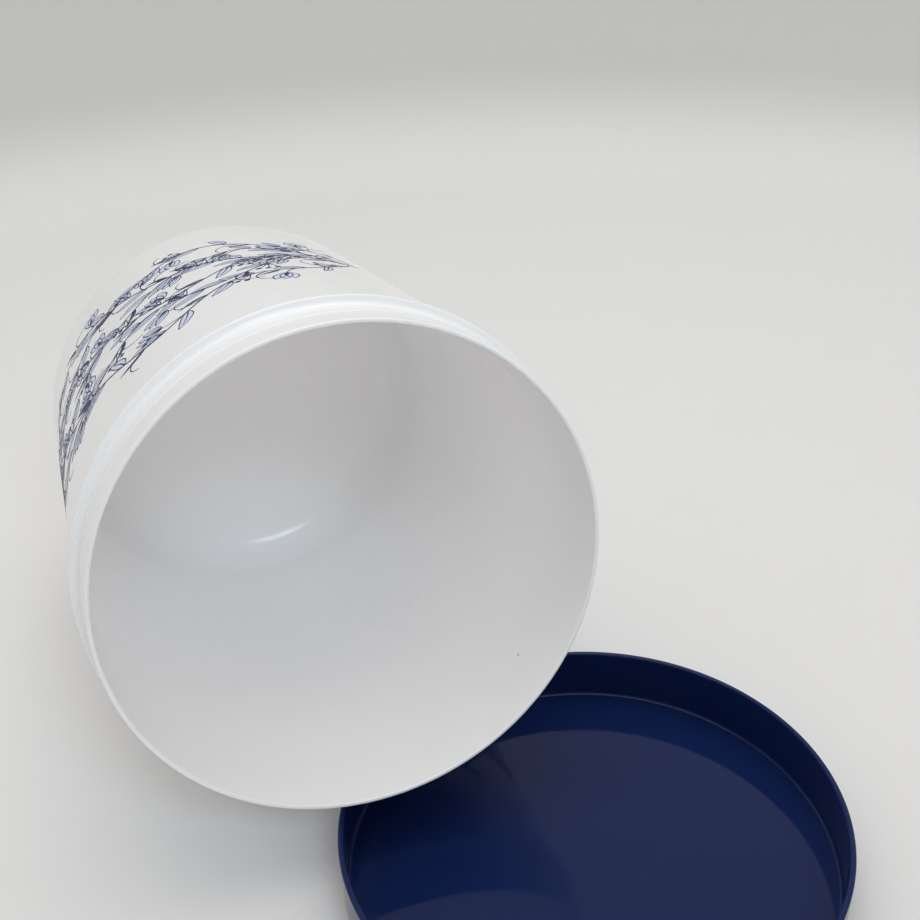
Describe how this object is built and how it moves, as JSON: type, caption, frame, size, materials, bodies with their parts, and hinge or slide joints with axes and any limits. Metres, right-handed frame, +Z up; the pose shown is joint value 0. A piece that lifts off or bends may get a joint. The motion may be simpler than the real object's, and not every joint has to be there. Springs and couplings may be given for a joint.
{
  "type": "round flower box with lid",
  "caption": "Round white plastic flower box lying open on its side, with its mouth end on the rim of its dark blue push-on lid, which lies open side up.",
  "frame": {"origin": "middle of the open set's bounding box, on the table that it lies on", "axes": "+Z up; the tub's axis lies in the YZ plane, mouth towards -Y and tilted up; +X towards the side on which the lid sticks out"},
  "size_m": [0.2174, 0.3194, 0.1799],
  "materials": {
    "tub_plastic": "white moulded polypropylene with a satin gloss, its side wall printed in blue",
    "lid_plastic": "glossy dark blue moulded polypropylene"
  },
  "bodies": {
    "tub": {"tub": "tub_plastic"},
    "lid": {"lid": "lid_plastic"}
  },
  "joints": [
    {"name": "lid_pull", "type": "slide", "parent": "tub", "child": "lid", "axis": [0, -1, 0], "range_m": [0, 0.2]}
  ]
}
